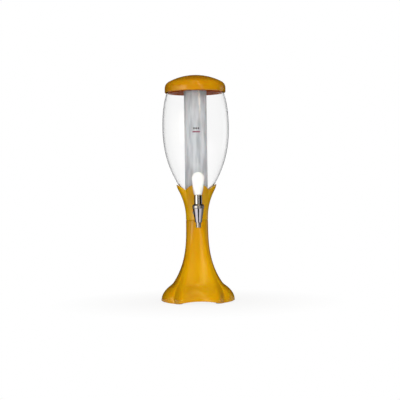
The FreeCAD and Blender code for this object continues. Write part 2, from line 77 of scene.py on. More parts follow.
def noise(tree, place, size, detail=2.0):
    # cloudy pattern with features about this many metres wide
    settings = [("Scale", 1.0 / size), ("Detail", detail)]
    return addNode(tree, "TexNoise", settings, [("Vector", place)]).outputs[0]


def stretched(tree, place, scale):
    return addNode(tree, "Mapping", [("Scale", scale)], [("Vector", place)]).outputs[0]


def shaded(tree, pattern, stops):
    return addNode(tree, "ValToRGB", [("ramp", stops)], [("Fac", pattern)]).outputs[0]


def ranged(tree, value, goal, source=(0.0, 1.0)):
    # carries the source range over to the goal range, and holds its ends beyond it
    names = ("From Min", "From Max", "To Min", "To Max")
    settings = list(zip(names, (*source, *goal)))
    return addNode(tree, "MapRange", settings, [("Value", value)]).outputs[0]


def calculated(tree, operation, first, second):
    # first is a socket, second a socket or a number
    isNumber = isinstance(second, float)
    settings = [("operation", operation)] + ([(1, second)] if isNumber else [])
    return addNode(tree, "Math", settings, [(0, first)] + ([] if isNumber else [(1, second)])).outputs[0]


def mixed(tree, kind, share, first, second):
    return addNode(tree, kind, (), [("Fac", share), (1, first), (2, second)]).outputs[0]


def seenStraight(tree, path):
    # 1 for what the camera sees itself or through clear walls
    return calculated(tree, "MAXIMUM", path.outputs["Is Camera Ray"], path.outputs["Is Transmission Ray"])


def newMaterial(name, settings):
    material = bpy.data.materials.new(name)
    material.use_nodes = True
    tree = material.node_tree
    shader = tree.nodes["Principled BSDF"]
    for key, value in settings:
        shader.inputs[key].default_value = value
    place = addNode(tree, "TexCoord").outputs["Object"]
    return material, tree, shader, place


def dress(tree, shader, colour, rough, relief, depth):
    # depth is the real height of the relief, in metres
    bump = addNode(tree, "Bump", [("Strength", 1.0), ("Distance", depth)], [("Height", relief)])
    for socket, name in ((colour, "Base Color"), (rough, "Roughness"), (bump.outputs[0], "Normal")):
        tree.links.new(socket, shader.inputs[name])


# Materials

plasticLook = {
    # painted light: the petal colours are a brighter copy of the stand's amber
    "standShades": ("#C68A02", "#D39A04", "#DBA50A"), "petalPaintedLightColours": ("#D69C02", "#E4AE04", "#ECB80A"),
    # painted shade: the lid and liner colours on this line are darker copies of the stand's amber
    "lidPaintedShadeColours": ("#BE7C04", "#CA8C06", "#D2960C"), "linerPaintedShadeColours": ("#A8500A", "#B2580E", "#BA6012"),
    "shadePlaces": (0.25, 0.5, 0.75), "flowSize": 60 * mm, "flowStretch": (1.0, 1.0, 0.35),
    "ior": 1.53, "shine": 0.35, "roughness": (0.10, 0.22), "scuffSize": 9 * mm,
    "glow": 0.3, "glowReach": 5 * mm, "glowColour": (1.0, 0.35, 0.05),
    "peelSize": 1.6 * mm, "peelDepth": 0.012 * mm,
}


def mouldedAbs(name, shades, shine=plasticLook["shine"]):
    # injection-moulded ABS: light that soaks in comes out redder, slow colour drift from flow, and a
    # faint orange peel that breaks up highlights
    look = plasticLook
    material, tree, shader, place = newMaterial(name, [
        ("IOR", look["ior"]), ("Specular IOR Level", shine), ("Subsurface Weight", look["glow"]),
        ("Subsurface Scale", look["glowReach"]), ("Subsurface Radius", look["glowColour"])])
    flow = noise(tree, stretched(tree, place, look["flowStretch"]), look["flowSize"], detail=3.0)
    colour = shaded(tree, flow, list(zip(look["shadePlaces"], shades)))
    rough = ranged(tree, noise(tree, place, look["scuffSize"], detail=5.0), look["roughness"])
    peel = noise(tree, place, look["peelSize"], detail=1.0)
    dress(tree, shader, colour, rough, peel, look["peelDepth"])
    return material


clearLook = {
    "ior": 1.47, "shine": 0.12, "paintedEdgeShade": [(0.70, "#FEFEFE"), (0.92, "#A2A4A6")],
    "tint": "#E4E6E6", "density": 12.0, "shadow": "#F4F5F5", "roughness": (0.0, 0.03),
    "waveSize": 45 * mm, "waveStretch": (1.0, 1.0, 0.4), "waveDepth": 0.05 * mm,
}


def clearBottle():
    # blow-moulded clear polyester: water-clear wall, painted grey shade where it is seen edge-on in place
    # of the dark reflections there, slow ripples
    look = clearLook
    material, tree, shader, place = newMaterial("blownClearPolyester", [
        ("IOR", look["ior"]), ("Specular IOR Level", look["shine"]), ("Transmission Weight", 1.0)])
    # painted shade: the wall's colour goes grey as it turns edge-on
    facing = addNode(tree, "LayerWeight", [("Blend", 0.5)]).outputs["Facing"]
    wave = noise(tree, stretched(tree, place, look["waveStretch"]), look["waveSize"])
    dress(tree, shader, shaded(tree, facing, look["paintedEdgeShade"]), ranged(tree, wave, look["roughness"]),
          wave, look["waveDepth"])
    absorb = addNode(tree, "VolumeAbsorption", [
        ("Color", linear(look["tint"])), ("Density", look["density"])])
    passing = addNode(tree, "BsdfTransparent", [("Color", linear(look["shadow"]))])
    isShadow = addNode(tree, "LightPath").outputs["Is Shadow Ray"]
    surface = mixed(tree, "MixShader", isShadow, shader.outputs[0], passing.outputs[0])
    output = tree.nodes["Material Output"]
    tree.links.new(surface, output.inputs["Surface"])
    tree.links.new(absorb.outputs[0], output.inputs["Volume"])
    return material


tubeLook = {
    "shades": [(0.36, "#AEB0B3"), (0.62, "#D2D3D5")], "ior": 1.52, "shine": 0.2, "clear": 0.25,
    "glow": 0.15, "glowReach": 4 * mm, "roughness": (0.42, 0.60),
    "streaks": 9.0, "streakLength": 140 * mm, "frostSize": 0.9 * mm, "frostDepth": 0.02 * mm,
}


def frostedTube():
    # extruded styrene with a frosted skin: milky grey, with long draw lines down its length
    look = tubeLook
    material, tree, shader, place = newMaterial("frostedStyrene", [
        ("IOR", look["ior"]), ("Specular IOR Level", look["shine"]),
        ("Transmission Weight", look["clear"]), ("Subsurface Weight", look["glow"]),
        ("Subsurface Scale", look["glowReach"])])
    parts = addNode(tree, "SeparateXYZ", (), [("Vector", place)]).outputs
    around = calculated(tree, "ARCTAN2", parts["X"], parts["Y"])
    along = calculated(tree, "DIVIDE", parts["Z"], look["streakLength"])
    wrapped = addNode(tree, "CombineXYZ", (), [("X", around), ("Y", along)]).outputs[0]
    streak = noise(tree, wrapped, math.pi / look["streaks"], detail=2.5)
    dress(tree, shader, shaded(tree, streak, look["shades"]), ranged(tree, streak, look["roughness"]),
          noise(tree, place, look["frostSize"]), look["frostDepth"])
    return material


handleLook = {
    "shades": [(0.3, "#F0F0EE"), (0.7, "#F8F8F7")], "ior": 1.53, "coat": 0.3, "coatRoughness": 0.08,
    "glow": 0.1, "glowReach": 2 * mm, "roughness": (0.2, 0.3), "flowSize": 14 * mm,
    "peelSize": 1.5 * mm, "peelDepth": 0.008 * mm,
}


def whiteHandle():
    # moulded white ABS with a polished skin: bright, slightly milky, tiny moulding ripple
    look = handleLook
    material, tree, shader, place = newMaterial("polishedWhiteAbs", [
        ("IOR", look["ior"]), ("Coat Weight", look["coat"]), ("Coat Roughness", look["coatRoughness"]),
        ("Subsurface Weight", look["glow"]), ("Subsurface Scale", look["glowReach"])])
    flow = noise(tree, place, look["flowSize"], detail=3.0)
    dress(tree, shader, shaded(tree, flow, look["shades"]), ranged(tree, flow, look["roughness"]),
          noise(tree, place, look["peelSize"]), look["peelDepth"])
    return material


chromeLook = {
    "shades": [(0.3, "#BDBEC2"), (0.7, "#C9CACD")], "roughness": (0.05, 0.14), "smearSize": 7 * mm,
    "satin": 0.26, "satinFade": 0.8 * mm, "ringTop": 198.5 * mm, "nozzleTop": 161 * mm,
    "lineSize": 0.5 * mm, "lineStretch": (0.05, 0.05, 1.0), "lineDepth": 0.004 * mm,
}


def platedChrome(name, satinBelow):
    # chrome plate over brass: mirror bright, with fine turning lines and a few wiped smears, and satin
    # where fingers or glasses rub it, below a height
    look = chromeLook
    material, tree, shader, place = newMaterial(name, [("Metallic", 1.0)])
    smear = noise(tree, place, look["smearSize"], detail=5.0)
    height = addNode(tree, "SeparateXYZ", (), [("Vector", place)]).outputs["Z"]
    worn = ranged(tree, height, (0.0, look["satin"]), (satinBelow, satinBelow - look["satinFade"]))
    rough = calculated(tree, "ADD", ranged(tree, smear, look["roughness"]), worn)
    turning = noise(tree, stretched(tree, place, look["lineStretch"]), look["lineSize"], detail=1.0)
    dress(tree, shader, shaded(tree, smear, look["shades"]), rough, turning, look["lineDepth"])
    return material


steelLook = {
    "shades": [(0.3, "#A9AAAC"), (0.7, "#BDBEBF")], "roughness": (0.22, 0.36), "grainSize": 0.4 * mm,
    "grainDepth": 0.006 * mm,
}


def brightSteel():
    # drawn stainless wire and bar: grey mirror blurred along its drawing lines
    look = steelLook
    material, tree, shader, place = newMaterial("drawnStainless", [("Metallic", 1.0)])
    grain = noise(tree, place, look["grainSize"], detail=3.0)
    dress(tree, shader, shaded(tree, grain, look["shades"]), ranged(tree, grain, look["roughness"]),
          grain, look["grainDepth"])
    return material


siliconeLook = {
    "shades": [(0.3, "#D8D8D2"), (0.7, "#E6E6E1")], "ior": 1.41, "clear": 0.25, "glow": 0.3,
    "glowReach": 3 * mm, "roughness": (0.5, 0.65), "dustSize": 1.2 * mm, "dustDepth": 0.02 * mm,
}


def softSilicone():
    # compression-moulded food silicone: milky, matt and slightly see-through
    look = siliconeLook
    material, tree, shader, place = newMaterial("milkySilicone", [
        ("IOR", look["ior"]), ("Transmission Weight", look["clear"]),
        ("Subsurface Weight", look["glow"]), ("Subsurface Scale", look["glowReach"])])
    dust = noise(tree, place, look["dustSize"], detail=4.0)
    dress(tree, shader, shaded(tree, dust, look["shades"]), ranged(tree, dust, look["roughness"]),
          dust, look["dustDepth"])
    return material


inkLook = {
    "redShades": [(0.35, "#7A2848"), (0.65, "#8E3C56")],
    "greyShades": [(0.35, "#18121A"), (0.65, "#2C242A")],
    "ior": 1.5, "roughness": (0.45, 0.6), "pinholeSize": 0.6 * mm, "pinholeDepth": 0.01 * mm,
}


def printedInk(name, shades):
    # pad-printed ink: thin, matt, with tiny pinholes
    look = inkLook
    material, tree, shader, place = newMaterial(name, [("IOR", look["ior"])])
    pinhole = noise(tree, place, look["pinholeSize"], detail=3.0)
    dress(tree, shader, shaded(tree, pinhole, shades), ranged(tree, pinhole, look["roughness"]),
          pinhole, look["pinholeDepth"])
    return material


amber = mouldedAbs("mouldedAmberAbs", plasticLook["standShades"])
paintedLightAmber = mouldedAbs("mouldedAmberAbsPaintedLight", plasticLook["petalPaintedLightColours"])   # painted light: a brighter copy of the same amber, for light bounced up onto the thin petals and through them
# painted shade: a darker copy of the same amber for the lid
paintedShadeAmber = mouldedAbs("mouldedAmberAbsPaintedShade", plasticLook["lidPaintedShadeColours"])
linerPaintedShadeAmber = mouldedAbs("mouldedAmberAbsLinerPaintedShade", plasticLook["linerPaintedShadeColours"], 0.0)      # painted shade: a darker copy of the amber for the shaded plug under the lid; matt when seen edge-on
clear = clearBottle()
frosted = frostedTube()
white = whiteHandle()
chrome = platedChrome("platedChrome", chromeLook["nozzleTop"])
ringChrome = platedChrome("platedRingChrome", chromeLook["ringTop"])
steel = brightSteel()
silicone = softSilicone()
redInk = printedInk("padPrintedRedInk", inkLook["redShades"])
greyInk = printedInk("padPrintedGreyInk", inkLook["greyShades"])
print("materials made")


# Mesh helpers

def makePiece(name, vertices, faces, material, body, replaced=()):
    mesh = bpy.data.meshes.new(name)
    mesh.from_pydata(vertices, [], faces)
    mesh.validate()
    mesh.update()
    for polygon in mesh.polygons:
        polygon.use_smooth = True
    piece = bpy.data.objects.new(name, mesh)
    bpy.context.scene.collection.objects.link(piece)
    piece.data.materials.append(material)
    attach(piece, body)
    if replaced:
        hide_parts(*replaced)
    return piece


def sweepArc(centre, radius, startDegrees, endDegrees, steps):
    points = []
    for step in range(steps + 1):
        angle = math.radians(startDegrees + (endDegrees - startDegrees) * step / steps)
        points.append(Vector((centre[0] + radius * math.cos(angle),
                              centre[1] + radius * math.sin(angle))))
    return points


def bezierPoint(poles, t):
    row = [Vector(pole) for pole in poles]
    while len(row) > 1:
        row = [a.lerp(b, t) for a, b in zip(row, row[1:])]
    return row[0]


def bezier(poles, steps):
    return [bezierPoint(poles, step / steps) for step in range(steps + 1)]


def turned(outline, segments, closed):
    # revolves (radius, height) points about the upright axis; points on the axis stay single
    vertices = []
    rings = []
    for point in outline:
        if point[0] < 1e-6:
            rings.append([len(vertices)] * segments)
            vertices.append((0.0, 0.0, point[1]))
            continue
        rings.append(list(range(len(vertices), len(vertices) + segments)))
        for step in range(segments):
            angle = 2 * math.pi * step / segments
            vertices.append((point[0] * math.cos(angle), point[0] * math.sin(angle), point[1]))
    return vertices, bandFaces(rings + ([rings[0]] if closed else []))


def bandFaces(rings):
    # faces between closed rings of vertex numbers; a ring may repeat one point
    faces = []
    for low, high in zip(rings, rings[1:]):
        for step in range(len(low)):
            after = (step + 1) % len(low)
            face = []
            for index in (low[step], low[after], high[after], high[step]):
                if index not in face:
                    face.append(index)
            if len(face) > 2:
                faces.append(face)
    return faces


def smooth(piece):
    modifier = piece.modifiers.new("smooth", "SUBSURF")
    modifier.levels = modifier.render_levels = 2


# Lobed forms: four lobes on the axes that meet in a groove on each diagonal

lobe = {
    "roundPole": 1.0976, "cheekConvex": 0.22, "cheekSteep": 4.0, "cheekSoft": 0.12,
    "edgeCut": 0.3,                                        # where a rounded edge has its middle point
}


def cheekPoint(t, along, across, face):
    # a broad face that rounds over into a straight cheek down to each groove
    place = 2 * t - 1
    broad = 1 - lobe["cheekConvex"] * place ** 2
    steep = lobe["cheekSteep"] * (1 - abs(place))
    share = (broad + steep - math.hypot(broad - steep, lobe["cheekSoft"])) / 2
    return Vector((along + (face - along) * share, across * place))


def lobePoint(quarter, t, face, groove, crease, turn=0.0, cheeked=0.0):
    # crease: degrees by which each side of a groove dips below a smooth outline
    # turn: degrees by which the grooves lie nearer to the side lobes than to the front and back ones
    # cheeked: how far the front and back lobes take on the outline with cheeks
    bearing = math.radians(45 - turn if quarter % 2 == 0 else 45 + turn)
    along, across = groove * math.cos(bearing), groove * math.sin(bearing)
    pole = face * lobe["roundPole"]                        # makes an uncreased outline round
    shoulderX = (16 * face - 2 * along - 6 * pole) / 8     # takes the middle of the curve to the face
    shoulderY = across - (shoulderX - along) * math.tan(math.pi / 4 - math.radians(crease))
    point = bezierPoint([(along, -across), (shoulderX, -shoulderY), (pole, 0),
                         (shoulderX, shoulderY), (along, across)], t)
    if cheeked and quarter % 2:
        point = point.lerp(cheekPoint(t, along, across, face), cheeked)
    return Matrix.Rotation(math.pi / 2 * quarter, 2) @ point


def lobePlaces(columns):
    # quarter and share along its lobe, closer together towards the grooves to keep them crisp
    return [(quarter, (1 - math.cos(math.pi * column / columns)) / 2)
            for quarter in range(4) for column in range(columns)]


def ramp(value, start, end):
    return min(1.0, max(0.0, (value - start) / (end - start)))


class LobedRings:
    # stacked rings of a lobed form, whose heights are told from the form's edge at each place round it
    def __init__(self, pointOf, places):
        self.pointOf, self.places = pointOf, places
        self.vertices, self.rings = [], []

    def add(self, edges, inset, heightOf):
        first = len(self.vertices)
        self.rings.append(list(range(first, first + len(self.places))))
        for (quarter, t), edge in zip(self.places, edges):
            self.vertices.append(self.pointOf(quarter, t, heightOf(edge), inset))

    def close(self, height):
        # one point on the axis
        self.rings.append([len(self.vertices)] * len(self.places))
        self.vertices.append(Vector((0, 0, height)))


baseLow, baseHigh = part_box("base_shell")
seam = baseHigh.z
stand = {
    "wall": 2.4 * mm, "neck": 22.4 * mm, "toeClearance": baseLow.z,
    "footFace": 74.9 * mm, "footGroove": 67.5 * mm,
    "bulgeHeight": 36.5 * mm, "bulgeFace": 51.3 * mm, "bulgeGroove": 55.5 * mm, "bulgePower": 2.45,
    "flareTop": 162 * mm, "flarePower": 3.0, "groovePower": 2.2,
    "grooveCrease": 27.0, "rimCrease": 12.0, "rimHeight": 10 * mm, "grooveTurn": 4.0,
    "cheekPower": 0.6, "toeStraight": 0.4,
    "frontArchRise": 6.2 * mm, "sideArchRise": 2.6 * mm, "archHalfSpan": 45 * mm,
    "columns": 20, "rows": 30, "rowPower": 1.35, "rimRound": 0.8 * mm, "seamRound": 0.4 * mm,
}


def flared(z, foot, bulge, power):
    # a bulging toe cap, then a flare up to the neck
    if z <= stand["bulgeHeight"]:
        return foot - (foot - bulge) * (max(z, 0.0) / stand["bulgeHeight"]) ** stand["bulgePower"]
    left = 1 - ramp(z, stand["bulgeHeight"], stand["flareTop"])
    return stand["neck"] + (bulge - stand["neck"]) * left ** power


def standFace(z, straight):
    # straight: how far the toe cap is drawn in to an even slope above its rim
    face = flared(z, stand["footFace"], stand["bulgeFace"], stand["flarePower"])
    slope = stand["footFace"] + (stand["bulgeFace"] - stand["footFace"]) * ramp(
        z, stand["rimHeight"], stand["bulgeHeight"])
    return face - max(0.0, face - slope) * straight * (z < stand["bulgeHeight"])


def standGroove(z):
    return flared(z, stand["footGroove"], stand["bulgeGroove"], stand["groovePower"])


def standCrease(z):
    low, high = stand["rimCrease"], stand["grooveCrease"]
    atRim = low + (high - low) * ramp(z, 0, stand["rimHeight"])
    return atRim * (1 - ramp(z, stand["bulgeHeight"], stand["flareTop"]))


def archHeight(x, y):
    # lower edge of the stand: a wide arch along each axis, and flat toes between them
    span, heights = stand["archHalfSpan"], [stand["toeClearance"]]
    for place, rise in ((x, stand["frontArchRise"]), (y, stand["sideArchRise"])):
        radius = (span ** 2 + rise ** 2) / (2 * rise)
        middle = stand["toeClearance"] + rise - radius
        heights.append(middle + math.sqrt(radius ** 2 - min(abs(place), span) ** 2))
    return max(heights)


def standPoint(quarter, t, z, inset):
    crease = standCrease(z)
    sharp = crease / stand["grooveCrease"]
    face = standFace(z, stand["toeStraight"] * (quarter % 2))
    point = lobePoint(quarter, t, face - inset, standGroove(z) - inset, crease,
                      stand["grooveTurn"] * sharp, sharp ** stand["cheekPower"])
    return Vector((point.x, point.y, z))


def makeStand():
    form = LobedRings(standPoint, lobePlaces(stand["columns"]))
    lowest = []
    for quarter, t in form.places:
        foot = standPoint(quarter, t, stand["rimHeight"] / 2, 0)
        lowest.append(archHeight(foot.x, foot.y))
    rows, rim, wall, bevel = stand["rows"], stand["rimRound"], stand["wall"], stand["seamRound"]
    cut = rim * lobe["edgeCut"]
    shares = [(row / rows) ** stand["rowPower"] for row in range(rows + 1)]
    for share in reversed(shares):
        form.add(lowest, wall, lambda low: low + rim + (seam - low - rim) * share)
    form.add(lowest, wall - cut, lambda low: low + cut)
    form.add(lowest, wall - rim, lambda low: low)
    form.add(lowest, rim, lambda low: low)
    form.add(lowest, cut, lambda low: low + cut)
    for share in shares:
        top = seam - bevel * (share == 1.0)
        form.add(lowest, 0, lambda low: low + rim + (top - low - rim) * share)
    form.add(lowest, bevel, lambda low: seam)
    smooth(makePiece("standShell", form.vertices, bandFaces(form.rings + [form.rings[0]]), amber,
                     "stand", ("base_shell",)))


makeStand()
print("stand made")


# Petal collar

collar = {
    "wall": 2.0 * mm, "floor": 3.0 * mm, "flareStart": 4.5 * mm, "flareRadius": 116 * mm,
    "lipStart": 61 * mm, "height": 74 * mm, "tip": 72.2 * mm, "valley": 60.2 * mm,
    "shoulder": 66 * mm, "shoulderPlace": 9 * mm, "grooveStart": 22 * mm, "grooveDepth": 4.2 * mm,
    "crease": 16.0, "columns": 24, "rows": 16, "edgeRound": 0.6 * mm, "seamRound": 0.4 * mm,
}
tapPad = {
    "rise": 16.0 * mm, "radius": 9.5 * mm, "proud": 0.8 * mm, "depth": 5 * mm, "edgeRound": 0.5 * mm,
    "segments": 64,
}


def collarFace(z):
    rise = z - seam
    swept = min(max(rise - collar["flareStart"], 0.0), collar["lipStart"] - collar["flareStart"])
    depth = math.sqrt(collar["flareRadius"] ** 2 - swept ** 2)
    radius = stand["neck"] + collar["flareRadius"] - depth
    past = rise - collar["lipStart"]
    if past > 0:
        radius += swept / depth * past * (1 - past / (2 * (collar["height"] - collar["lipStart"])))
    return radius


def grooveShare(z):
    return max(0.0, z - seam - collar["grooveStart"]) / (collar["valley"] - collar["grooveStart"])


def collarPoint(quarter, t, z, inset):
    share = grooveShare(z)
    groove = collarFace(z) - collar["grooveDepth"] * share ** 2
    point = lobePoint(quarter, t, collarFace(z) - inset, groove - inset, collar["crease"] * share)
    return Vector((point.x, point.y, z))


def circleThrough(a, b, c):
    # centre and radius of the circle through three points
    ax, ay, bx, by, cx, cy = *a, *b, *c
    aa, bb, cc = ax * ax + ay * ay, bx * bx + by * by, cx * cx + cy * cy
    d = 2 * (ax * (by - cy) + bx * (cy - ay) + cx * (ay - by))
    ux = (aa * (by - cy) + bb * (cy - ay) + cc * (ay - by)) / d
    uy = (aa * (cx - bx) + bb * (ax - cx) + cc * (bx - ax)) / d
    return ux, uy, math.hypot(ax - ux, ay - uy)


tipPlace = collarFace(seam + collar["tip"]) * math.sin(math.pi / 4)
petalArc = circleThrough((0, collar["valley"]), (collar["shoulderPlace"], collar["shoulder"]),
                         (tipPlace, collar["tip"]))


def petalEdge(x, y):
    # height of the petals' upper edge over a point: arcs from each valley up to the tips
    place = min(abs(x - y) / math.sqrt(2), abs(x + y) / math.sqrt(2), tipPlace)
    centreX, centreZ, radius = petalArc
    return seam + centreZ + math.sqrt(radius ** 2 - (place - centreX) ** 2)


def petalTops(places, inset):
    # the edge's height depends on how far out the flare has come there, so it is found in four passes
    tops = []
    for quarter, t in places:
        z = seam + collar["shoulder"]
        for _ in range(4):
            point = collarPoint(quarter, t, z, inset)
            z = petalEdge(point.x, point.y)
        tops.append(z)
    return tops


def makeCollar():
    form = LobedRings(collarPoint, lobePlaces(collar["columns"]))
    rows, wall, edge, bevel = collar["rows"], collar["wall"], collar["edgeRound"], collar["seamRound"]
    outer, inner = petalTops(form.places, 0.0), petalTops(form.places, wall)
    cut, middle = edge * lobe["edgeCut"], stand["neck"] / 2
    foot, floor = seam + bevel, seam + collar["floor"]
    form.close(seam)
    form.add(outer, middle, lambda top: seam)
    form.add(outer, bevel, lambda top: seam)
    for row in range(rows + 1):
        form.add(outer, 0.0, lambda top: foot + (top - edge - foot) * (row / rows))
    form.add(outer, cut, lambda top: top - cut)
    form.add(outer, edge, lambda top: top)
    form.add(inner, wall - edge, lambda top: top)
    form.add(inner, wall - cut, lambda top: top - cut)
    for row in range(rows, -1, -1):
        form.add(inner, wall, lambda top: floor + (top - edge - floor) * (row / rows))
    form.add(inner, middle, lambda top: floor)
    form.close(floor)
    smooth(makePiece("petalCollar", form.vertices, bandFaces(form.rings), paintedLightAmber,
                     "stand", ("petal_collar",)))


def makeTapPad():
    # flat boss for the tap's washer, turned about the tap's own axis; its back end is buried in the petal
    radius, edge = tapPad["radius"], tapPad["edgeRound"]
    face = collarFace(seam + tapPad["rise"] + radius) + tapPad["proud"]
    back = face - tapPad["depth"]
    outline = [Vector((0, back)), Vector((radius, back))]
    outline += sweepArc((radius - edge, face - edge), edge, 0, 90, steps=5) + [Vector((0, face))]
    vertices, faces = turned(outline, tapPad["segments"], False)
    vertices = [(x, -z, seam + tapPad["rise"] + y) for x, y, z in vertices]
    makePiece("tapPad", vertices, faces, paintedLightAmber, "stand")


makeCollar()
makeTapPad()
print("collar made")


# Bottle

bottleLow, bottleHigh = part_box("bottle")
bottle = {
    "wall": 2.0 * mm, "throat": 20.0 * mm, "throatHeight": 27 * mm, "throatReach": 32 * mm,
    "belly": bottleHigh.x, "bellyHeight": 184 * mm, "bellyReach": 96 * mm, "mouth": 57.6 * mm,
    "mouthLength": 7 * mm, "shoulderReach": 52 * mm, "mouthReach": 8 * mm,
    "funnelSteps": 40, "shoulderSteps": 28, "segments": 160,
}


def bottleSide(inset):
    throat, belly, mouth = (bottle[key] - inset for key in ("throat", "belly", "mouth"))
    throatTop = bottleLow.z + bottle["throatHeight"]
    middle = bottleLow.z + bottle["bellyHeight"]
    mouthBottom = bottleHigh.z - bottle["mouthLength"]
    funnel = bezier([(throat, throatTop), (throat, throatTop + bottle["throatReach"]),
                     (belly, middle - bottle["bellyReach"]), (belly, middle)], bottle["funnelSteps"])
    shoulder = bezier([(belly, middle), (belly, middle + bottle["shoulderReach"]),
                       (mouth, mouthBottom - bottle["mouthReach"]), (mouth, mouthBottom)],
                      bottle["shoulderSteps"])
    return funnel + shoulder[1:]


def makeBottle():
    wall, floor, rim, throat = bottle["wall"], bottleLow.z, bottleHigh.z, bottle["throat"]
    lip = wall / 2
    outline = [Vector((0, floor)), Vector((throat - lip, floor))]
    outline += sweepArc((throat - lip, floor + lip), lip, -90, 0, steps=4)[1:]
    outline += bottleSide(0.0)
    outline += sweepArc((bottle["mouth"] - lip, rim - lip), lip, 0, 180, steps=8)
    outline += list(reversed(bottleSide(wall)))
    outline += [Vector((throat - wall, floor + wall)), Vector((0, floor + wall))]
    vertices, faces = turned(outline, bottle["segments"], False)
    makePiece("clearBottle", vertices, faces, clear, "stand", ("bottle",))


makeBottle()
print("bottle made")


# Lid

lidLow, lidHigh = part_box("lid")
dome = {
    "wall": 2.2 * mm, "crownRadius": 115 * mm, "cornerRadius": 14.5 * mm, "edgeRound": 1.6 * mm,
    "innerEdgeRound": 0.4 * mm, "cornerSteps": 14, "crownSteps": 18, "segments": 144,
}
linerRim = {
    "wall": 2.0 * mm, "clearance": 0.7 * mm, "drop": 2.2 * mm, "overlap": 1 * mm, "edgeRound": 0.4 * mm,
}


def domeSide(inset):
    # from the corner over the crown to the axis
    radius = lidHigh.x - inset
    crown = dome["crownRadius"] - inset
    corner = dome["cornerRadius"] - inset
    centre = lidHigh.z - inset - crown
    cornerX = radius - corner
    cornerZ = centre + math.sqrt((crown - corner) ** 2 - cornerX ** 2)
    lean = math.degrees(math.atan2(cornerX, cornerZ - centre))
    side = sweepArc((cornerX, cornerZ), corner, 0, 90 - lean, dome["cornerSteps"])
    side += sweepArc((0, centre), crown, 90 - lean, 90, dome["crownSteps"])[1:]
    side[-1].x = 0.0
    return side


def makeLid():
    edge, innerEdge = dome["edgeRound"], dome["innerEdgeRound"]
    radius, inner, low = lidHigh.x, lidHigh.x - dome["wall"], lidLow.z
    outline = sweepArc((radius - edge, low + edge), edge, -90, 0, steps=5) + domeSide(0.0)
    outline += list(reversed(domeSide(dome["wall"])))
    outline += sweepArc((inner + innerEdge, low + innerEdge), innerEdge, 180, 270, steps=4)
    vertices, faces = turned(outline, dome["segments"], True)
    makePiece("lidDome", vertices, faces, paintedShadeAmber, "lid_group", ("lid",))


def makeLinerRim():
    # soft-edged lower rim of the plug, a little below the solid that carries it
    radius = bottle["mouth"] - bottle["wall"] - linerRim["clearance"]
    inner, edge = radius - linerRim["wall"], linerRim["edgeRound"]
    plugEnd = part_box("lid_liner")[0].z
    top, low = plugEnd + linerRim["overlap"], plugEnd - linerRim["drop"]
    outline = [Vector((radius, top)), Vector((inner, top))]
    outline += sweepArc((inner + edge, low + edge), edge, 180, 270, steps=4)
    outline += sweepArc((radius - edge, low + edge), edge, 270, 360, steps=4)
    vertices, faces = turned(outline, dome["segments"], True)
    # the rim takes the liner's painted-shade amber
    makePiece("linerRim", vertices, faces, linerPaintedShadeAmber, "lid_group")


makeLid()
makeLinerRim()
print("lid made")


# Ice tube with its level marks

tubeLow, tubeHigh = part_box("ice_tube")
iceTube = {"wall": 1.8 * mm, "corner": 9 * mm, "segments": 96}
levelMark = {
    "height": 343.5 * mm, "barWidth": 15 * mm, "barTall": 2.6 * mm, "lift": 0.06 * mm, "steps": 12,
    "tickWidth": 2.8 * mm, "tickTall": 3.4 * mm, "ticks": 3, "tickGap": 4.6 * mm, "tickRise": 7.0 * mm,
}


def makeTube():
    radius, wall, corner = tubeHigh.x, iceTube["wall"], iceTube["corner"]
    low, lip = tubeLow.z, wall / 2
    centre = (radius - corner, low + corner)
    outline = [Vector((0, low))] + sweepArc(centre, corner, -90, 0, steps=10)
    outline += sweepArc((radius - lip, tubeHigh.z - lip), lip, 0, 180, steps=6)
    outline += sweepArc(centre, corner - wall, 0, -90, steps=10) + [Vector((0, low + wall))]
    vertices, faces = turned(outline, iceTube["segments"], False)
    makePiece("iceTubeSkin", vertices, faces, frosted, "tube_group", ("ice_tube",))


def printPatch(vertices, faces, middle, width, low, tall):
    # a curved patch of ink on the front of the tube, with a closed back just inside the skin
    steps = levelMark["steps"]
    first = len(vertices)
    for radius in (tubeHigh.x + levelMark["lift"], tubeHigh.x - levelMark["lift"]):
        for z in (low, low + tall):
            for step in range(steps + 1):
                angle = (middle + width * (step / steps - 0.5)) / tubeHigh.x - math.pi / 2
                vertices.append((radius * math.cos(angle), radius * math.sin(angle), z))
    row = steps + 1
    outerLow, outerHigh, innerLow, innerHigh = (first + row * k for k in range(4))
    for step in range(steps):
        faces.append((outerLow + step, outerLow + step + 1, outerHigh + step + 1, outerHigh + step))
        faces.append((innerLow + step + 1, innerLow + step, innerHigh + step, innerHigh + step + 1))
        faces.append((outerLow + step + 1, outerLow + step, innerLow + step, innerLow + step + 1))
        faces.append((outerHigh + step, outerHigh + step + 1, innerHigh + step + 1, innerHigh + step))
    faces.append((outerLow, outerHigh, innerHigh, innerLow))
    faces.append((outerLow + steps, innerLow + steps, innerHigh + steps, outerHigh + steps))


def makeLevelMark():
    mark = levelMark
    vertices, faces = [], []
    low = mark["height"] - mark["barTall"] / 2
    printPatch(vertices, faces, 0, mark["barWidth"], low, mark["barTall"])
    makePiece("levelBar", vertices, faces, redInk, "tube_group")
    vertices, faces = [], []
    low = mark["height"] + mark["tickRise"] - mark["tickTall"] / 2
    for tick in range(mark["ticks"]):
        middle = (tick - (mark["ticks"] - 1) / 2) * mark["tickGap"]
        printPatch(vertices, faces, middle, mark["tickWidth"], low, mark["tickTall"])
    makePiece("levelTicks", vertices, faces, greyInk, "tube_group")


makeTube()
makeLevelMark()
print("ice tube made")


# Finish of the solids that show as they are

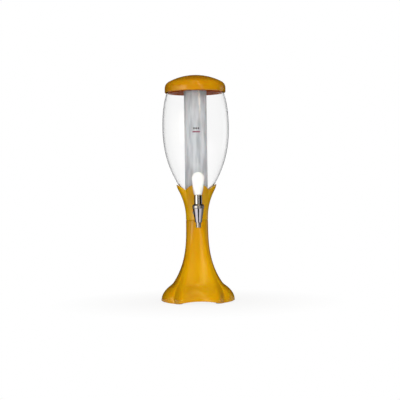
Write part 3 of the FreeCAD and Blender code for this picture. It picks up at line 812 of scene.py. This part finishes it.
finishes = {
    amber: ("bottom_plate",),
    # the liner takes the painted-shade amber
    linerPaintedShadeAmber: ("lid_liner",),
    chrome: ("tap_body", "shank_nut"),
    ringChrome: ("tap_bonnet",),
    steel: ("bottom_screws", "tap_stem", "tap_spring", "handle_pin"),
    silicone: ("lid_gasket", "tube_seal", "front_washer", "back_washer", "bonnet_seal", "seat_cup",
               "rubber_feet"),
    white: ("tap_handle",),
}
for material, names in finishes.items():
    for name in names:
        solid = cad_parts[name]
        solid.data.materials.clear()
        solid.data.materials.append(material)
print("finishes set")


# Studio

studio = {
    "cameraDistance": 2.07, "cameraHeight": 0.2063, "cameraAside": 0.0067, "orbit": 3.05, "roll": 0.85,
    "lens": 91.8, "farthest": 100,
    "floorRadius": 0.45, "floorSides": 96, "floorColour": "#F6F6F5", "floorRough": 0.7,
    "shadowReach": (0.08, 0.30), "shadowGlow": (0.88, 1.0), "fill": 0.12, "fillColour": "#FFE8D0",
    "ring": 5.0, "levelStart": (-0.22, -0.08), "highStart": (0.08, 0.30),
}

# Lamps: place, target, width, height and watts
lamps = {
    "keyRight": ((0.5, -1.65, 0.45), (0, 0, 0.22), 0.3, 1.3, 16),
    "keyLeft": ((-0.75, -1.55, 0.45), (0, 0, 0.22), 0.4, 1.3, 17),
    "overhead": ((0, -0.2, 1.8), (0, 0, 0.3), 1.2, 1.2, 6),
}

# Soft light strips that mirrors see below, level with and above them. A place runs once round the
# object, from 0 at the camera's side to 0.5 behind it and back to 1, by the left.
lightStrips = {
    "low": [(0.0, "#040404"), (0.035, "#0C0C0D"), (0.06, "#7E7E80"), (0.09, "#8A8688"), (0.20, "#80797A"),
            (0.29, "#060606"), (0.66, "#060606"), (0.72, "#2A2A2A"), (0.80, "#5A5657"), (0.88, "#7A7476"),
            (0.945, "#858283"), (0.957, "#020202")],
    "level": [(0.0, "#2E2E2F"), (0.09, "#363637"), (0.11, "#DCD2C2"), (0.16, "#DCD2C2"),
              (0.18, "#8A857A"), (0.25, "#6A655A"), (0.29, "#070707"), (0.63, "#070707"),
              (0.65, "#606061"), (0.69, "#606061"), (0.72, "#060505"), (0.92, "#060505"),
              (0.93, "#9A948A"), (0.95, "#9A948A"), (0.96, "#2E2E2F")],
    "high": [(0.0, "#0C0C0C"), (0.01, "#6E6252"), (0.04, "#6E6252"), (0.07, "#0C0C0C"), (0.29, "#0A0A0A"),
             (0.42, "#070707"), (0.72, "#0C0A08"), (0.952, "#0C0A08"), (0.960, "#FFDCA0"),
             (0.971, "#FFDCA0"), (0.979, "#0C0C0C")],
}


def softbox(name, place, target, width, height, power):
    light = bpy.data.lights.new(name, "AREA")
    light.shape = "RECTANGLE"
    light.size = width
    light.size_y = height
    light.energy = power
    lamp = bpy.data.objects.new(name, light)
    bpy.context.scene.collection.objects.link(lamp)
    lamp.location = place
    lamp.rotation_euler = (Vector(target) - lamp.location).to_track_quat("-Z", "Y").to_euler()
    lamp.visible_glossy = False                            # mirrors see the strips of the world instead
    lamp.visible_transmission = False


def makeCamera():
    orbit = math.radians(studio["orbit"])
    away = Vector((math.sin(orbit), math.cos(orbit), 0))
    right = Vector((math.cos(orbit), -math.sin(orbit), 0))
    lens = bpy.data.cameras.new("camera")
    lens.lens = studio["lens"]
    lens.clip_end = studio["farthest"]
    camera = bpy.data.objects.new("camera", lens)
    bpy.context.scene.collection.objects.link(camera)
    place = right * studio["cameraAside"] - away * studio["cameraDistance"]
    level = Matrix.Rotation(-orbit, 4, "Z") @ Matrix.Rotation(math.pi / 2, 4, "X")
    camera.matrix_world = (Matrix.Translation((place.x, place.y, studio["cameraHeight"])) @ level
                           @ Matrix.Rotation(math.radians(-studio["roll"]), 4, "Z"))
    bpy.context.scene.camera = camera


def backgroundOf(tree, colour, strength):
    return addNode(tree, "Background", [("Color", linear(colour)), ("Strength", strength)]).outputs[0]


def makeWorld():
    # seen straight or through clear walls it is white; mirrors see a ring of soft light strips
    world = bpy.data.worlds.new("studio")
    bpy.context.scene.world = world
    world.use_nodes = True
    tree = world.node_tree
    path = addNode(tree, "LightPath")
    where = addNode(tree, "TexCoord").outputs["Generated"]
    parts = addNode(tree, "SeparateXYZ", (), [("Vector", where)]).outputs
    turn = calculated(tree, "ARCTAN2", parts["X"], parts["Y"])
    share = ranged(tree, turn, (0.0, 1.0), (-math.pi, math.pi))
    low, level, high = (shaded(tree, share, lightStrips[name]) for name in ("low", "level", "high"))
    risen = ranged(tree, parts["Z"], (0.0, 1.0), studio["levelStart"])
    raised = ranged(tree, parts["Z"], (0.0, 1.0), studio["highStart"])
    strips = mixed(tree, "MixRGB", raised, mixed(tree, "MixRGB", risen, low, level), high)
    ring = addNode(tree, "Background", [("Strength", studio["ring"])], [("Color", strips)]).outputs[0]
    fill = backgroundOf(tree, studio["fillColour"], studio["fill"])
    lit = mixed(tree, "MixShader", path.outputs["Is Glossy Ray"], fill, ring)
    seen = mixed(tree, "MixShader", seenStraight(tree, path), lit, backgroundOf(tree, "#FFFFFF", 1.0))
    tree.links.new(seen, tree.nodes["World Output"].inputs["Surface"])


def makeFloor():
    # white sweep: its own light for the camera, so that it meets the backdrop, and less of it near the
    # feet, where the shadow shows
    sides = studio["floorSides"]
    bearings = [2 * math.pi * side / sides for side in range(sides)]
    edge = [(studio["floorRadius"] * math.cos(turn), studio["floorRadius"] * math.sin(turn), 0)
            for turn in bearings]
    mesh = bpy.data.meshes.new("floor")
    mesh.from_pydata(edge, [], [list(range(sides))])
    floor = bpy.data.objects.new("floor", mesh)
    bpy.context.scene.collection.objects.link(floor)
    material, tree, shader, place = newMaterial("paleSweep", [
        ("Base Color", linear(studio["floorColour"])), ("Roughness", studio["floorRough"])])
    distance = addNode(tree, "VectorMath", [("operation", "LENGTH")], [(0, place)]).outputs["Value"]
    away = ranged(tree, distance, studio["shadowGlow"], studio["shadowReach"])
    share = calculated(tree, "MULTIPLY", seenStraight(tree, addNode(tree, "LightPath")), away)
    glow = addNode(tree, "Emission", [("Color", linear("#FFFFFF")), ("Strength", 1.0)]).outputs[0]
    surface = mixed(tree, "MixShader", share, shader.outputs[0], glow)
    tree.links.new(surface, tree.nodes["Material Output"].inputs["Surface"])
    floor.data.materials.append(material)


makeCamera()
makeWorld()
makeFloor()
for name, values in lamps.items():
    softbox(name, *values)
bpy.context.scene.view_settings.view_transform = "Standard"
print("studio made")
